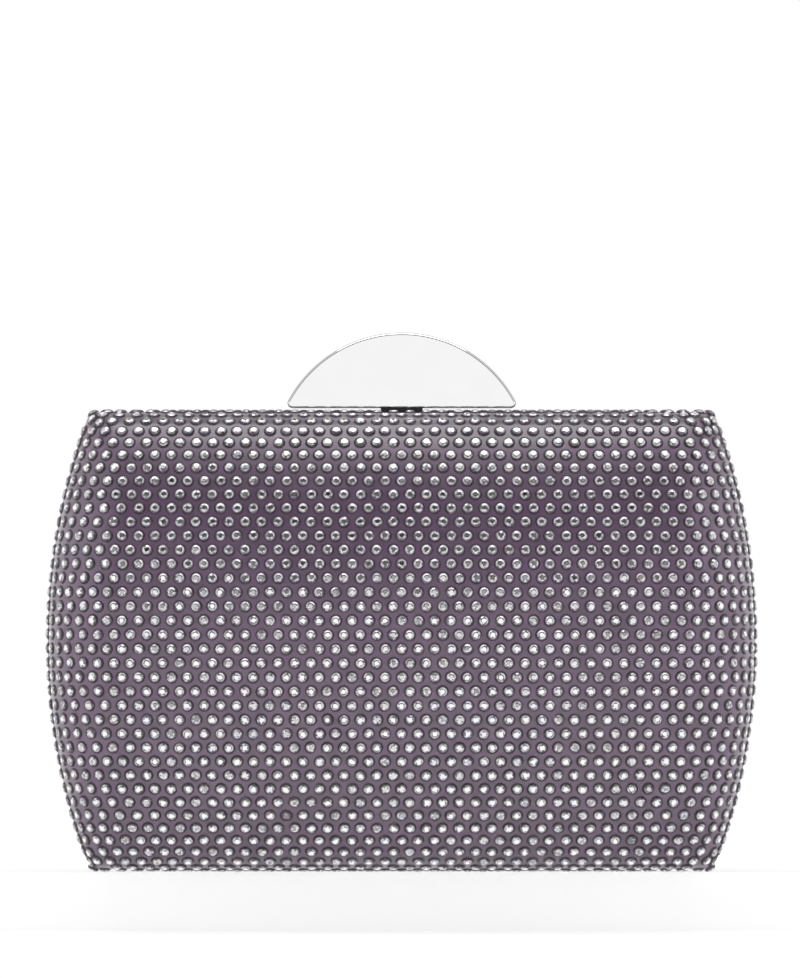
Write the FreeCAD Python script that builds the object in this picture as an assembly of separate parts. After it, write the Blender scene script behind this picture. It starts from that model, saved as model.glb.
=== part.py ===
import FreeCAD, Part
import math
import os

# A minaudiere: a hard evening clutch in two domed halves, hinged along the bottom edge and held
# shut by a half-moon clasp on top. Millimetres. As the clutch is looked at, +X is to the right,
# -Y is the front and +Z is up. The seam between the halves is the plane y = 0, and the origin is
# under its middle, on the ground that the clutch stands on.

# Case, measured over the tops of the stones
CASE_WIDTH = 170.6
CASE_HEIGHT = 110.5
CASE_DEPTH = 49.0
SIDE_RADIUS = 156.0  # bow of the left and right sides, as seen from the front
LAND_DEPTH = 7.5  # flat top and bottom of one half, from the seam to where its dome begins
FACE_BOW = 3.5  # how far the face of a half stands proud of its rounded ends
CORNER_RADIUS = 4.2
DOME_POWER = 2.2  # 2 would make the upright section of a half an ellipse
DOME_SECTIONS = 13

# Layers of a half, from the tops of the stones inwards
STONE_HEIGHT = 1.2
SATIN = 0.4
GLUE = 0.1
SHELL_WALL = 2.0
LIP_WALL = 1.3
LINING = 1.0
POCKET_CLOTH = 0.7

# Metal frame round the mouth of each half
RIM_THICKNESS = 1.6
RIM_PROUD = 0.2  # height of the rim's outer edge over the satin
RIM_COVER = 0.4  # how far the rim's inner edge hides the edge of the lining
SEAM_GAP = 0.3
LIP_SHORT = 0.2  # the lip ends this far before the flat top begins to curve

# Slip pocket on the rear lining
POCKET_WIDTH = 88.0
POCKET_BOTTOM = 14.0
POCKET_TOP = 62.0

# Clearances
RUN_CLEARANCE = 0.4  # between pieces that pass each other
FIT_CLEARANCE = 0.04  # all round a pin, screw or rivet in its hole
REST_GAP = 0.2  # between the hook, its strike and its stop

# Hinges along the bottom edge
OPEN_ANGLE = 65.0
RELIEF_SPARE = 2.0  # degrees that each rim is cut back beyond half the opening
HINGE_OFFSET = 42.0  # middle of each hinge, from the middle of the case
HINGE_LENGTH = 24.0
KNUCKLE_COUNT = 3
KNUCKLE_GAP = 0.3
BARREL_RADIUS = 1.5
BARREL_LIFT = 0.4  # barrel above the ground
HINGE_PIN_RADIUS = 0.75
LEAF_THICKNESS = 0.8
LEAF_WEB = 1.0
LEAF_FROM_SEAM = 0.3
HINGE_RIVET_RADIUS = 0.8
HINGE_RIVET_HEAD = 1.5
HINGE_RIVET_HEAD_HEIGHT = 0.5
HINGE_RIVET_SPACING = 16.0
HINGE_RIVET_GRIP = 1.3  # depth of the rivet in the shell wall

# Half-moon clasp plate
PLATE_WIDTH = 56.0  # between the points that the rounded tips are cut from
PLATE_HEIGHT = 18.0
PLATE_THICKNESS = 3.5
PLATE_BEVEL = 0.5
PLATE_TIP_RADIUS = 1.2
PLATE_LIFT = 0.3  # over the tops of the stones
TENON_WIDTH = 7.0
TENON_THICKNESS = 1.6
TENON_HEIGHT = 4.0

# Clasp lever under the plate
PUSH_ANGLE = 10.0
STEM_WIDTH = 10.0
STEM_THICKNESS = 2.4
ARM_WIDTH = 6.8
ARM_HEIGHT = 2.0
BOSS_RADIUS = 1.8
PIVOT_BACK = 3.2  # pivot behind the seam
PIVOT_DROP = 3.6  # pivot below the foot of its bracket
PIVOT_PIN_RADIUS = 1.0
PIVOT_PIN_STAND = 0.6  # the pin stands out of the ears by this much
TOOTH_DEPTH = 1.3
TOOTH_THICKNESS = 1.6
TOOTH_RAMP = 0.8

# Latch bracket and strike plate, both screwed up under the lips of the frames
LATCH_FROM_SEAM = 0.3
FOOT_THICKNESS = 1.2
EAR_THICKNESS = 1.2
EAR_DROP = 2.4  # ears below the pivot
STOP_DEPTH = 1.0
BACK_PLATE = 1.0
BRACKET_SCREW_RADIUS = 0.8
BRACKET_SCREW_HEAD = 1.6
BRACKET_SCREW_HEAD_HEIGHT = 0.8
BRACKET_SCREW_GRIP = 1.3  # depth of the screw in the shell wall
BRACKET_SCREW_EDGE = 0.8  # metal left round the screw heads
BRACKET_SCREW_SLOT = 0.4  # width of the driver slots
STRIKE_THICKNESS = 1.2
STRIKE_FROM_SEAM = 4.0
STRIKE_SIDE = 2.4  # metal beside the strike's window
STRIKE_ROOM = 0.8  # room beside the hook in the window
STRIKE_BAR = 1.7  # metal under the window, which the hook catches

# Leaf spring behind the lever
SPRING_THICKNESS = 0.4
SPRING_WIDTH = 4.0
SPRING_UPRIGHT = 4.3
SPRING_RISE = 1.0
SPRING_RIVET_RADIUS = 0.6
SPRING_RIVET_HEAD = 1.0
SPRING_RIVET_HEAD_HEIGHT = 0.35
SPRING_RIVET_UP = 1.1

# Eyes for a shoulder chain, inside the rear half
EYE_DROP = 14.5  # below the top of the case
EYE_FROM_SEAM = 3.2
EYE_RADIUS = 3.0
EYE_BORE_RADIUS = 1.6
EYE_THICKNESS = 1.6
EYE_SHANK_RADIUS = 0.8
EYE_SHANK_GRIP = 1.0

# Depth of each layer's faces under the tops of the stones
rim_outer = STONE_HEIGHT - RIM_PROUD
cover_back = STONE_HEIGHT + SATIN
shell_face = cover_back + GLUE
shell_back = shell_face + SHELL_WALL
lip_face = shell_back + GLUE
lip_back = lip_face + LIP_WALL
lining_face = lip_back + GLUE
lining_back = lining_face + LINING
rim_inner = lining_back + RIM_COVER
pocket_face = lining_back + GLUE
pocket_back = pocket_face + POCKET_CLOTH

# Case values that follow
half_case_width = CASE_WIDTH / 2
half_case_depth = CASE_DEPTH / 2
middle = CASE_HEIGHT / 2
land_share = 1 - (LAND_DEPTH / half_case_depth) ** DOME_POWER
dome_reach = middle / land_share ** (1 / DOME_POWER)  # half height if the dome ran on past the flats
rim_front = SEAM_GAP / 2
rim_back = rim_front + RIM_THICKNESS
cloth_front = rim_back + GLUE  # cover, shell and lining begin here, behind the rim
beyond = CASE_WIDTH + CASE_HEIGHT + CASE_DEPTH  # past everything

ORIGIN = FreeCAD.Vector(0, 0, 0)
ALONG_X = FreeCAD.Vector(1, 0, 0)
ALONG_Y = FreeCAD.Vector(0, 1, 0)


def box(x, y, z):
    """A box from three pairs of lower and upper limits."""
    size = [limits[1] - limits[0] for limits in (x, y, z)]
    return Part.makeBox(*size, FreeCAD.Vector(x[0], y[0], z[0]))


def rod(radius, start, end):
    """A round rod between two points."""
    start = FreeCAD.Vector(*start)
    run = FreeCAD.Vector(*end) - start
    return Part.makeCylinder(radius, run.Length, start, run)


def prism(outline, width):
    """A side profile of (y, z) points, as wide as width about the middle of the case."""
    points = [FreeCAD.Vector(-width / 2, y, z) for y, z in outline]
    face = Part.Face(Part.makePolygon(points + points[:1]))
    return face.extrude(ALONG_X * width)


def to_front(shape):
    """The same shape on the front half."""
    return shape.mirror(ORIGIN, ALONG_Y)


def joined(shapes):
    return shapes[0].multiFuse(shapes[1:]).removeSplitter()


def half_width_at(z, inset):
    sag = SIDE_RADIUS - math.sqrt(SIDE_RADIUS**2 - (z - middle) ** 2)
    return half_case_width - sag - inset


def half_depth_at(z, inset):
    share = abs(z - middle) / (dome_reach - inset)
    return (half_case_depth - inset) * (1 - share**DOME_POWER) ** (1 / DOME_POWER)


def section_radii(z, inset):
    """Radius of the round ends of a level section, and of the bowed face between them."""
    depth = half_depth_at(z, inset)
    end_radius = depth * (1 - FACE_BOW / half_case_depth)
    end_centre = half_width_at(z, inset) - end_radius
    face_radius = (end_centre**2 + depth**2 - end_radius**2) / (2 * (depth - end_radius))
    return end_radius, face_radius


def land_depth(x, inset):
    """Depth of the flat top and bottom of a layer, from the seam, at a distance from the middle."""
    top = CASE_HEIGHT - inset
    face_radius = section_radii(top, inset)[1]
    return half_depth_at(top, inset) - face_radius + math.sqrt(face_radius**2 - x**2)


def wall_at(y, z, inset):
    """Distance of a layer's side wall from the middle of the case."""
    end_radius = section_radii(z, inset)[0]
    return half_width_at(z, inset) - end_radius + math.sqrt(end_radius**2 - y**2)


def dome_section(z, inset):
    """Level section of a half: a straight seam, two round ends and a gently bowed face."""
    depth = half_depth_at(z, inset)
    end_radius, face_radius = section_radii(z, inset)
    end_centre = half_width_at(z, inset) - end_radius
    turn = math.atan2(face_radius - depth, end_centre)  # where an end meets the face

    def end_point(angle, side):
        x = end_centre + end_radius * math.cos(angle)
        return FreeCAD.Vector(side * x, end_radius * math.sin(angle), z)

    right = [end_point(angle, 1) for angle in (0, turn / 2, turn)]
    left = [end_point(angle, -1) for angle in (turn, turn / 2, 0)]
    crown = FreeCAD.Vector(0, depth, z)
    edges = [
        Part.Arc(*right).toShape(),
        Part.Arc(right[2], crown, left[0]).toShape(),
        Part.Arc(*left).toShape(),
        Part.makeLine(left[2], right[0]),
    ]
    return Part.Wire(edges)


def dome(inset):
    """Solid rear half, lying inset under the tops of the stones."""
    sections = []
    for number in range(DOME_SECTIONS):
        angle = math.pi * (number / (DOME_SECTIONS - 1) - 0.5)
        sections.append(dome_section(middle + (middle - inset) * math.sin(angle), inset))
    return Part.makeLoft(sections, True, False)


def layer(outer, inner, y):
    """What lies between two domes, over a span of y."""
    span = box((-beyond, beyond), y, (-beyond, beyond))
    return outer.common(span).cut(inner)


def corner_cutter(side, top):
    """What a rounded corner leaves off, as seen from the front."""
    bow_centre = half_case_width - SIDE_RADIUS
    rise = CORNER_RADIUS - middle
    run = math.sqrt((SIDE_RADIUS - CORNER_RADIUS) ** 2 - rise**2)
    centre = (bow_centre + run, CORNER_RADIUS)
    last = math.atan2(rise, run)  # where the corner meets the bowed side
    first = -math.pi / 2  # where it meets the flat bottom

    def place(x, z):
        return FreeCAD.Vector(side * x, 0, CASE_HEIGHT - z if top else z)

    def on_corner(angle):
        x = centre[0] + CORNER_RADIUS * math.cos(angle)
        return place(x, centre[1] + CORNER_RADIUS * math.sin(angle))

    inner, bend, outer = [on_corner(angle) for angle in (first, (first + last) / 2, last)]
    wide = place(half_case_width, middle).x
    below = place(0, -CORNER_RADIUS).z
    far = [FreeCAD.Vector(x, 0, z) for x, z in ((wide, outer.z), (wide, below), (inner.x, below))]
    straight = Part.makePolygon([outer] + far + [inner])
    outline = Part.Wire([Part.Arc(inner, bend, outer).toShape()] + straight.Edges)
    return Part.Face(outline).extrude(ALONG_Y * half_case_depth)


def rounded_dome():
    """The outermost dome, with the corners that the front view shows rounded."""
    cutters = [corner_cutter(side, top) for side in (-1, 1) for top in (False, True)]
    return dome(0).cut(cutters)


# Where the hinges lie
hinge_z = BARREL_RADIUS + BARREL_LIFT
hinge_middles = {"left": -HINGE_OFFSET, "right": HINGE_OFFSET}
leaf_bottom = lip_face
leaf_top = leaf_bottom + LEAF_THICKNESS
leaf_back = land_depth(HINGE_OFFSET + HINGE_LENGTH / 2, shell_back) - LIP_SHORT
hinge_rivet_y = (LEAF_FROM_SEAM + LEAF_WEB + leaf_back) / 2

# Where the latch lies
frame_lip_end = land_depth(0, lip_back) - LIP_SHORT
rim_bottom = CASE_HEIGHT - rim_inner  # inner edge of the rims, over the latch
foot_top = CASE_HEIGHT - lip_back - GLUE
foot_bottom = foot_top - FOOT_THICKNESS
foot_front = rim_back + GLUE
foot_back = frame_lip_end - GLUE
pivot_z = foot_bottom - PIVOT_DROP
plate_bottom = CASE_HEIGHT + PLATE_LIFT
arm_top = pivot_z + ARM_HEIGHT / 2
arm_bottom = pivot_z - ARM_HEIGHT / 2
strike_back = -STRIKE_FROM_SEAM
strike_front = strike_back - STRIKE_THICKNESS
tooth_back = strike_front - REST_GAP
tooth_front = tooth_back - TOOTH_THICKNESS
ear_inner = STEM_WIDTH / 2 + RUN_CLEARANCE
ear_outer = ear_inner + EAR_THICKNESS
ear_bottom = pivot_z - EAR_DROP
spring_front = PIVOT_BACK + BOSS_RADIUS + RUN_CLEARANCE
back_plate_front = spring_front + SPRING_THICKNESS + GLUE
back_plate_back = back_plate_front + BACK_PLATE
bracket_screw_x = ear_outer + BRACKET_SCREW_HEAD + RUN_CLEARANCE
bracket_screw_y = (foot_front + foot_back) / 2
foot_half_length = bracket_screw_x + BRACKET_SCREW_HEAD + BRACKET_SCREW_EDGE
bracket_screw_end = CASE_HEIGHT - shell_back + BRACKET_SCREW_GRIP
hook_rise = (PIVOT_BACK - strike_front) * math.sin(math.radians(PUSH_ANGLE))
window_half = ARM_WIDTH / 2 + STRIKE_ROOM
window_top = arm_top + hook_rise + RUN_CLEARANCE
bar_top = arm_bottom - REST_GAP

# Where the chain eyes lie
eye_z = CASE_HEIGHT - EYE_DROP
eye_back = EYE_FROM_SEAM + EYE_THICKNESS / 2
eye_x = wall_at(eye_back, eye_z + EYE_RADIUS, lining_back) - GLUE - EYE_RADIUS
eye_shank_end = wall_at(EYE_FROM_SEAM, eye_z, shell_back) + EYE_SHANK_GRIP


def hinge_span(centre):
    """Reach of one hinge along X, with room at its ends."""
    half = HINGE_LENGTH / 2 + RUN_CLEARANCE
    return (centre - half, centre + half)


def hinge_rivet_places(centre):
    half = HINGE_RIVET_SPACING / 2
    return [centre - half, centre + half]


def barrel_rooms():
    """Room that the hinge barrels turn in."""
    radius = BARREL_RADIUS + KNUCKLE_GAP
    spans = [hinge_span(centre) for centre in hinge_middles.values()]
    return [rod(radius, (x0, 0, hinge_z), (x1, 0, hinge_z)) for x0, x1 in spans]


def leaf_rooms():
    """Slots in the frame and its lip that the hinge leaves lie in."""
    y = (0, beyond)
    z = (-beyond, lip_back + GLUE)
    return [box(hinge_span(centre), y, z) for centre in hinge_middles.values()]


def rivet_holes():
    """Holes for the hinge rivets in the shell wall, on the rear half."""
    radius = HINGE_RIVET_RADIUS + FIT_CLEARANCE
    end = shell_back - HINGE_RIVET_GRIP - FIT_CLEARANCE
    holes = []
    for centre in hinge_middles.values():
        for x in hinge_rivet_places(centre):
            holes.append(rod(radius, (x, hinge_rivet_y, end), (x, hinge_rivet_y, leaf_top)))
    return holes


def screw_holes():
    """Holes for the bracket's or the strike's screws, on the rear half."""
    radius = BRACKET_SCREW_RADIUS + FIT_CLEARANCE
    end = bracket_screw_end + FIT_CLEARANCE
    holes = []
    for x in (-bracket_screw_x, bracket_screw_x):
        start = (x, bracket_screw_y, foot_bottom - GLUE)
        holes.append(rod(radius, start, (x, bracket_screw_y, end)))
    return holes


def shank_holes():
    """Holes for the shanks of the chain eyes in the lining, lip and shell."""
    radius = EYE_SHANK_RADIUS + FIT_CLEARANCE
    end = eye_shank_end + FIT_CLEARANCE
    holes = []
    for side in (-1, 1):
        start = (side * eye_x, EYE_FROM_SEAM, eye_z)
        holes.append(rod(radius, start, (side * end, EYE_FROM_SEAM, eye_z)))
    return holes


def stem_room(back):
    """Slot that the stem of the clasp stands and rocks in, from the seam to back."""
    half = STEM_WIDTH / 2 + RUN_CLEARANCE
    return box((-half, half), (-beyond, back), (rim_bottom - RUN_CLEARANCE, beyond))


def stem_swing():
    """How far behind the seam the back of the stem gets when the clasp is pushed."""
    angle = math.radians(PUSH_ANGLE)
    behind = STEM_THICKNESS / 2 - PIVOT_BACK
    above = plate_bottom - pivot_z
    return PIVOT_BACK + behind * math.cos(angle) + above * math.sin(angle)


def relief():
    """Wedge under the hinge line that lets the lower edges of the rims swing past each other."""
    slope = math.tan(math.radians(OPEN_ANGLE / 2 + RELIEF_SPARE))
    foot = hinge_z * slope
    return prism([(0, hinge_z), (-foot, 0), (foot, 0)], 2 * beyond)


def latch_room():
    """Place left out of a lining for the latch."""
    half = foot_half_length + RUN_CLEARANCE
    back = max(back_plate_back, -tooth_front) + RUN_CLEARANCE
    return box((-half, half), (-beyond, back), (ear_bottom - RUN_CLEARANCE, beyond))


def make_cover():
    return layer(outer_dome, dome(cover_back), (cloth_front, beyond)).cut(barrel_rooms())


def make_shell():
    wall = layer(dome(shell_face), dome(shell_back), (cloth_front, beyond))
    return wall.cut(barrel_rooms() + rivet_holes() + screw_holes())


def make_frame():
    rim = layer(dome(rim_outer), dome(rim_inner), (rim_front, rim_back))
    lip = layer(dome(lip_face), dome(lip_back), (rim_back, frame_lip_end))
    rooms = barrel_rooms() + leaf_rooms() + screw_holes()
    return joined([rim, lip]).cut(rooms + [relief()])


def make_lining():
    return layer(dome(lining_face), dome(lining_back), (cloth_front, beyond)).cut(latch_room())


def make_pocket():
    half = POCKET_WIDTH / 2
    panel = box((-half, half), (0, beyond), (POCKET_BOTTOM, POCKET_TOP))
    return dome(pocket_face).cut(dome(pocket_back)).common(panel)


def make_leaf(centre, own):
    """Rear hinge leaf: its own knuckles on a plate that lies on the shell."""
    start = centre - HINGE_LENGTH / 2
    step = (HINGE_LENGTH + KNUCKLE_GAP) / KNUCKLE_COUNT
    y_plate = (LEAF_FROM_SEAM, leaf_back)
    y_web = (LEAF_FROM_SEAM, LEAF_FROM_SEAM + LEAF_WEB)
    pieces = [box((start, start + HINGE_LENGTH), y_plate, (leaf_bottom, leaf_top))]
    for number in range(KNUCKLE_COUNT):
        if number % 2 == own:
            x0 = start + number * step
            x1 = x0 + step - KNUCKLE_GAP
            pieces.append(rod(BARREL_RADIUS, (x0, 0, hinge_z), (x1, 0, hinge_z)))
            pieces.append(box((x0, x1), y_web, (hinge_z, leaf_top)))
    bore_radius = HINGE_PIN_RADIUS + FIT_CLEARANCE
    bore = rod(bore_radius, (start, 0, hinge_z), (start + HINGE_LENGTH, 0, hinge_z))
    return joined(pieces).cut([bore] + rivet_holes())


def make_hinge_rivets():
    rivets = []
    for centre in hinge_middles.values():
        for x in hinge_rivet_places(centre):
            foot = (x, hinge_rivet_y, shell_back - HINGE_RIVET_GRIP)
            seat = (x, hinge_rivet_y, leaf_top)
            crown = (x, hinge_rivet_y, leaf_top + HINGE_RIVET_HEAD_HEIGHT)
            rivet = rod(HINGE_RIVET_RADIUS, foot, seat).fuse(rod(HINGE_RIVET_HEAD, seat, crown))
            rivets.append(rivet)
    return Part.makeCompound(rivets)


def make_hinge_pin(centre):
    half = HINGE_LENGTH / 2
    return rod(HINGE_PIN_RADIUS, (centre - half, 0, hinge_z), (centre + half, 0, hinge_z))


def make_bracket_screws():
    screws = []
    for x in (-bracket_screw_x, bracket_screw_x):
        head = (x, bracket_screw_y, foot_bottom - BRACKET_SCREW_HEAD_HEIGHT)
        seat = (x, bracket_screw_y, foot_bottom)
        tip = (x, bracket_screw_y, bracket_screw_end)
        slot_y = (bracket_screw_y - BRACKET_SCREW_SLOT / 2, bracket_screw_y + BRACKET_SCREW_SLOT / 2)
        slot_z = (head[2], head[2] + BRACKET_SCREW_HEAD_HEIGHT / 2)
        slot = box((x - BRACKET_SCREW_HEAD, x + BRACKET_SCREW_HEAD), slot_y, slot_z)
        screw = rod(BRACKET_SCREW_HEAD, head, seat).fuse(rod(BRACKET_SCREW_RADIUS, seat, tip))
        screws.append(screw.cut(slot))
    return Part.makeCompound(screws)


def make_foot():
    """Foot that the bracket or the strike is screwed down by, on the rear half."""
    x = (-foot_half_length, foot_half_length)
    return box(x, (foot_front, foot_back), (foot_bottom, foot_top))


def make_latch_bracket():
    pieces = [make_foot()]
    low_z = (ear_bottom, foot_bottom - RUN_CLEARANCE)
    for side in (-1, 1):
        x = sorted((side * ear_inner, side * ear_outer))
        pieces.append(box(x, (LATCH_FROM_SEAM, back_plate_back), low_z))
        pieces.append(box(x, (foot_front, foot_back), (low_z[1], foot_top)))
    across = (-ear_outer, ear_outer)
    stop_y = (LATCH_FROM_SEAM, LATCH_FROM_SEAM + STOP_DEPTH)
    pieces.append(box(across, stop_y, (ear_bottom, bar_top)))
    pieces.append(box(across, (back_plate_front, back_plate_back), low_z))
    hole_radius = PIVOT_PIN_RADIUS + FIT_CLEARANCE
    hole = rod(hole_radius, (-beyond, PIVOT_BACK, pivot_z), (beyond, PIVOT_BACK, pivot_z))
    return joined(pieces).cut(screw_holes() + [hole, spring_rivet_hole()])


def make_latch_pin():
    half = ear_outer + PIVOT_PIN_STAND
    return rod(PIVOT_PIN_RADIUS, (-half, PIVOT_BACK, pivot_z), (half, PIVOT_BACK, pivot_z))


def make_strike():
    pieces = [to_front(make_foot())]
    half = window_half + STRIKE_SIDE
    y = (strike_front, strike_back)
    pieces.append(box((-half, half), y, (bar_top - STRIKE_BAR, foot_bottom)))
    window = box((-window_half, window_half), y, (bar_top, window_top))
    return joined(pieces).cut([window] + [to_front(hole) for hole in screw_holes()])


def spring_rivet_z():
    return ear_bottom + SPRING_RIVET_UP


def spring_rivet_hole():
    z = spring_rivet_z()
    radius = SPRING_RIVET_RADIUS + FIT_CLEARANCE
    return rod(radius, (0, spring_front, z), (0, back_plate_back, z))


def make_latch_spring():
    """Bent strip: upright on the bracket's back plate, then forward to the back of the stem."""
    back = spring_front + SPRING_THICKNESS
    tip = STEM_THICKNESS / 2 + GLUE
    knee = ear_bottom + SPRING_UPRIGHT
    outline = [
        (back, ear_bottom),
        (back, knee + SPRING_THICKNESS),
        (tip, knee + SPRING_RISE + SPRING_THICKNESS),
        (tip, knee + SPRING_RISE),
        (spring_front, knee),
        (spring_front, ear_bottom),
    ]
    return prism(outline, SPRING_WIDTH).cut(spring_rivet_hole())


def make_spring_rivet():
    z = spring_rivet_z()
    head = (0, spring_front - SPRING_RIVET_HEAD_HEIGHT, z)
    seat = (0, spring_front, z)
    shank = rod(SPRING_RIVET_RADIUS, seat, (0, back_plate_back, z))
    return shank.fuse(rod(SPRING_RIVET_HEAD, head, seat))


def make_eye(side):
    front = (side * eye_x, EYE_FROM_SEAM - EYE_THICKNESS / 2, eye_z)
    back = (side * eye_x, eye_back, eye_z)
    ring = rod(EYE_RADIUS, front, back)
    bore = rod(EYE_BORE_RADIUS, front, back)
    start = (side * (eye_x + (EYE_RADIUS + EYE_BORE_RADIUS) / 2), EYE_FROM_SEAM, eye_z)
    shank = rod(EYE_SHANK_RADIUS, start, (side * eye_shank_end, EYE_FROM_SEAM, eye_z))
    return ring.fuse(shank).cut(bore)


def make_clasp_plate():
    """Half-moon: a segment of a circle on a straight edge, with rounded tips and bevelled rims."""
    half = PLATE_WIDTH / 2
    front = -PLATE_THICKNESS / 2
    left = FreeCAD.Vector(-half, front, plate_bottom)
    right = FreeCAD.Vector(half, front, plate_bottom)
    crown = FreeCAD.Vector(0, front, plate_bottom + PLATE_HEIGHT)
    outline = Part.Wire([Part.Arc(right, crown, left).toShape(), Part.makeLine(left, right)])
    plate = Part.Face(outline).extrude(ALONG_Y * PLATE_THICKNESS)
    tips = [e for e in plate.Edges if e.BoundBox.XLength < GLUE and e.BoundBox.ZLength < GLUE]
    plate = plate.makeFillet(PLATE_TIP_RADIUS, tips)
    rims = [e for e in plate.Edges if e.BoundBox.YLength < GLUE]
    plate = plate.makeChamfer(PLATE_BEVEL, rims)
    half_slot = TENON_WIDTH / 2 + FIT_CLEARANCE
    half_gap = TENON_THICKNESS / 2 + FIT_CLEARANCE
    depth = TENON_HEIGHT + FIT_CLEARANCE
    z = (plate_bottom, plate_bottom + depth)
    return plate.cut(box((-half_slot, half_slot), (-half_gap, half_gap), z))


def make_clasp_lever():
    """Stem with a tenon for the plate, a boss on the pivot, and an arm that ends in the hook."""
    stem_y = (-STEM_THICKNESS / 2, STEM_THICKNESS / 2)
    tenon_y = (-TENON_THICKNESS / 2, TENON_THICKNESS / 2)
    stem_x = (-STEM_WIDTH / 2, STEM_WIDTH / 2)
    tenon_x = (-TENON_WIDTH / 2, TENON_WIDTH / 2)
    stem = box(stem_x, stem_y, (arm_bottom, plate_bottom))
    tenon = box(tenon_x, tenon_y, (plate_bottom, plate_bottom + TENON_HEIGHT))
    boss = rod(BOSS_RADIUS, (stem_x[0], PIVOT_BACK, pivot_z), (stem_x[1], PIVOT_BACK, pivot_z))
    neck = box(stem_x, (0, PIVOT_BACK), (arm_bottom, arm_top))
    hook_outline = [
        (0, arm_top),
        (0, arm_bottom),
        (tooth_back, arm_bottom),
        (tooth_back, arm_bottom - TOOTH_DEPTH),
        (tooth_front + TOOTH_RAMP, arm_bottom - TOOTH_DEPTH),
        (tooth_front, arm_bottom),
        (tooth_front, arm_top),
    ]
    hook = prism(hook_outline, ARM_WIDTH)
    bore_radius = PIVOT_PIN_RADIUS + FIT_CLEARANCE
    bore = rod(bore_radius, (-beyond, PIVOT_BACK, pivot_z), (beyond, PIVOT_BACK, pivot_z))
    return joined([stem, tenon, boss, neck, hook]).cut(bore)


outer_dome = rounded_dome()
cover = make_cover()
shell = make_shell()
frame = make_frame()
lining = make_lining()
rear_slot = stem_room(stem_swing() + RUN_CLEARANCE)
front_slot = to_front(stem_room(rim_back))
hinge_rivets = make_hinge_rivets()
bracket_screws = make_bracket_screws()

nodes = {
    "rear_cover": cover.cut(rear_slot),
    "rear_shell": shell.cut([rear_slot] + shank_holes()),
    "rear_frame": frame.cut([rear_slot] + shank_holes()),
    "rear_lining": lining.cut(shank_holes()),
    "slip_pocket": make_pocket(),
    "rear_hinge_rivets": hinge_rivets,
    "latch_bracket": make_latch_bracket().cut(rear_slot),
    "latch_screws": bracket_screws,
    "latch_pin": make_latch_pin(),
    "latch_spring": make_latch_spring(),
    "latch_spring_rivet": make_spring_rivet(),
    "chain_eye_left": make_eye(-1),
    "chain_eye_right": make_eye(1),
    "front_cover": to_front(cover),
    "front_shell": to_front(shell),
    "front_frame": to_front(frame).cut(front_slot),
    "front_lining": to_front(lining),
    "front_hinge_rivets": to_front(hinge_rivets),
    "strike_plate": make_strike(),
    "strike_screws": to_front(bracket_screws),
    "clasp_plate": make_clasp_plate(),
    "clasp_lever": make_clasp_lever(),
}
for side, centre in hinge_middles.items():
    nodes["rear_hinge_leaf_" + side] = make_leaf(centre, 0)
    nodes["front_hinge_leaf_" + side] = to_front(make_leaf(centre, 1))
    nodes["hinge_pin_" + side] = make_hinge_pin(centre)

os.makedirs("parts", exist_ok=True)
for name, shape in nodes.items():
    shape.exportStep("parts/" + name + ".step")
    print(name, "solids", len(shape.Solids), "volume", round(shape.Volume, 1), "valid", shape.isValid())
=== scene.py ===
import math
import random

import bmesh
import bpy
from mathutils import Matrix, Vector, noise


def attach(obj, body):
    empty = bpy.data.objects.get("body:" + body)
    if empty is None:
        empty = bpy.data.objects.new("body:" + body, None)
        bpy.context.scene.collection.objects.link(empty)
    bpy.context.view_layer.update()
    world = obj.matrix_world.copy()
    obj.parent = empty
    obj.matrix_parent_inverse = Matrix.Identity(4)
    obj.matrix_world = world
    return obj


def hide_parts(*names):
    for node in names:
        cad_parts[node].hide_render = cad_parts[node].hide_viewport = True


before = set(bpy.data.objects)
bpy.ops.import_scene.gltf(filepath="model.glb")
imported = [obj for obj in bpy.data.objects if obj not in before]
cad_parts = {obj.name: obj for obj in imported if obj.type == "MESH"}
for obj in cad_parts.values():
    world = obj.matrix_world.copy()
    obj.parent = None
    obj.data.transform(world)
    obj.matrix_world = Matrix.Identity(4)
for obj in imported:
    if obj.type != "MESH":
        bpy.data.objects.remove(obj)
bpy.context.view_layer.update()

# A minaudiere: two domed halves covered in mauve satin that is set with rows of clear stones, with a
# half-moon clasp on top. Metres. -Y is the front, and the seam between the halves is the plane y = 0.

MM = 0.001

# Case, measured over the tops of the stones
CASE_WIDTH = 170.6 * MM
CASE_HEIGHT = 110.5 * MM
CASE_DEPTH = 49 * MM
SIDE_RADIUS = 156 * MM  # of the bowed sides, seen from the front
CORNER_RADIUS = 4.2 * MM  # seen from the front
LAND_DEPTH = 7.5 * MM  # of the flat top and bottom of a half
FACE_BOW = 3.5 * MM  # at the middle, the face stands out this far over its round ends
DOME_POWER = 2.2  # of the curve from bottom to top, where 2 is an ellipse

# Layers of a half, as depths under the tops of the stones
SATIN_FACE = 0.7 * MM
SATIN_THICKNESS = 0.9 * MM  # with its backing
LINING_MIDDLE = 5.7 * MM
LINING_THICKNESS = 0.8 * MM
LINING_CREASE = 0.35 * MM  # height of the small waves in the lining
LINING_WAVES = 90  # to a metre
CLOTH_EDGE = 1.85 * MM  # satin and lining begin this far from the seam, behind the metal rim
SATIN_ROUND = 3.2 * MM  # the satin is drawn round the edge of the flat top and bottom, over this height

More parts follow.
